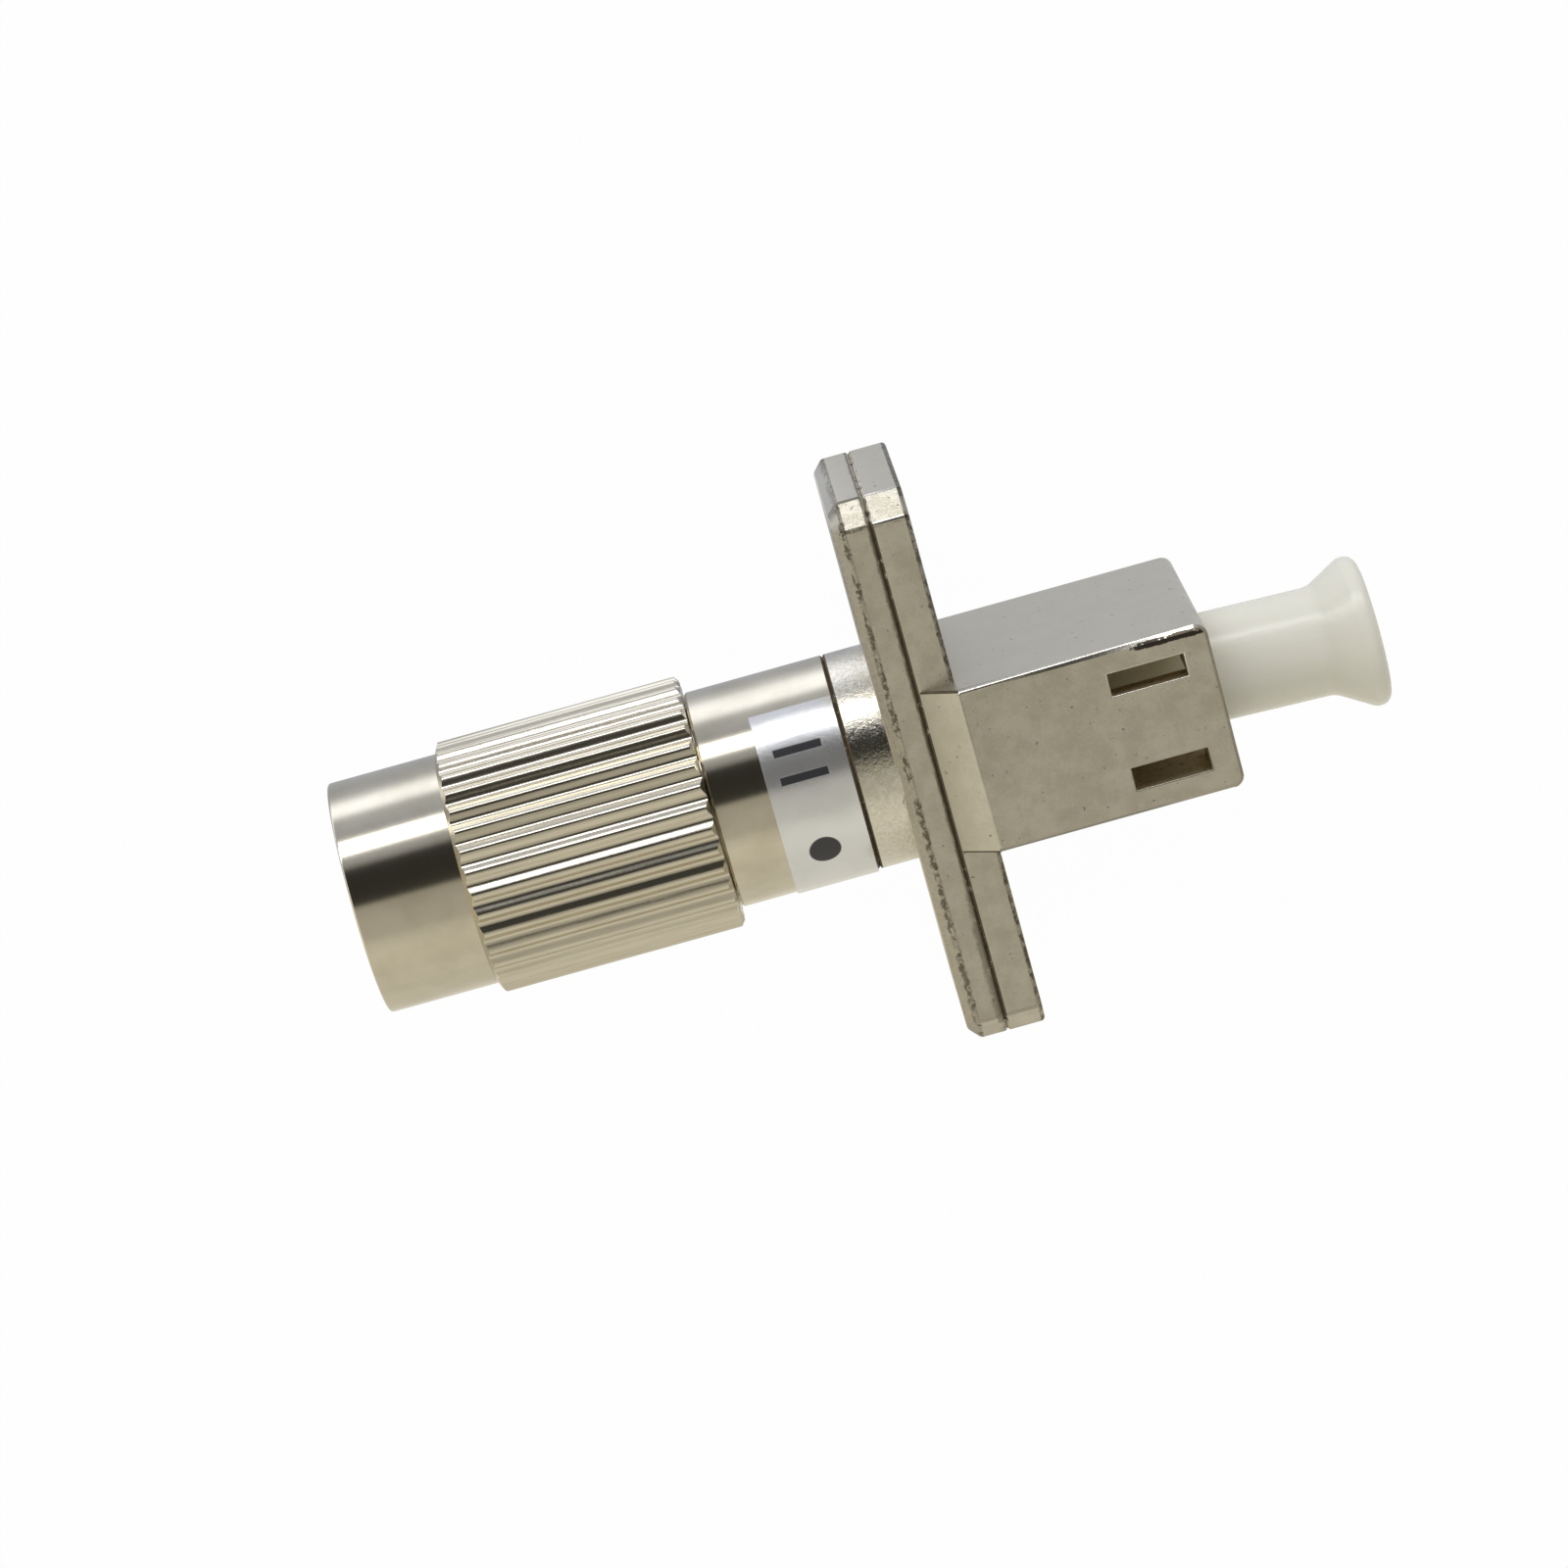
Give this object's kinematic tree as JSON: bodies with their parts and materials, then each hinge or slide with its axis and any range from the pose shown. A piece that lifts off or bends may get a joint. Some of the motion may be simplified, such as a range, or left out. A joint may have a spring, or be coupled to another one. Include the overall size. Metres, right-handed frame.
{
  "type": "hybrid fibre adapter",
  "caption": "Nickel-plated optical fibre adapter: a knurled threaded round plug joined through a two-eared flange to a square latch port closed by a flared dust cap.",
  "frame": {"origin": "on the optical axis, in the flange's port-side face, midway between the two screw holes", "axes": "+X along the optical axis towards the latch port, +Y along the flange ears, +Z out of the latch face with the two windows"},
  "size_m": [0.0405, 0.022, 0.0109],
  "materials": {
    "polished_nickel": "turned brass, bright nickel plate with a warm cast",
    "cast_nickel": "die casting, satin nickel plate with fine grain and small pits",
    "turned_nickel": "turned, nickel plated",
    "spring_steel": "bright drawn steel",
    "white_ceramic": "polished ceramic",
    "fibre_glass": "clear glass with a thin clear coating",
    "label_paper": "plain white sticker",
    "cap_plastic": "ivory white moulded plastic, slightly translucent"
  },
  "bodies": {
    "housing": {"port_housing": "cast_nickel", "front_flange": "cast_nickel", "flange_pins": "spring_steel", "barrel": "polished_nickel", "barrel_label": "label_paper", "plug_frame": "turned_nickel", "spring_stop": "turned_nickel", "ferrule_spring": "spring_steel", "sleeve_holder": "turned_nickel", "split_sleeve": "white_ceramic"},
    "ring": {"retaining_ring": "spring_steel"},
    "nut": {"coupling_nut": "polished_nickel"},
    "ferrules": {"plug_ferrule": "white_ceramic", "ferrule_holder": "turned_nickel", "port_ferrule": "white_ceramic", "fibre": "fibre_glass"},
    "cap": {"dust_cap": "cap_plastic"}
  },
  "joints": [
    {"name": "nut_slide", "type": "slide", "parent": "housing", "child": "ring", "axis": [-1, 0, 0], "range_m": [0, 0.002]},
    {"name": "nut_turn", "type": "hinge", "parent": "ring", "child": "nut", "pos_m": [-0.0172, 0, 0], "axis": [1, 0, 0], "continuous": true},
    {"name": "ferrule_float", "type": "slide", "parent": "housing", "child": "ferrules", "axis": [1, 0, 0], "range_m": [0, 0.0008], "stiffness_N_per_m": 1500, "deforming": ["ferrule_spring"]},
    {"name": "cap_pull", "type": "slide", "parent": "housing", "child": "cap", "axis": [1, 0, 0], "range_m": [0, 0.012]}
  ]
}
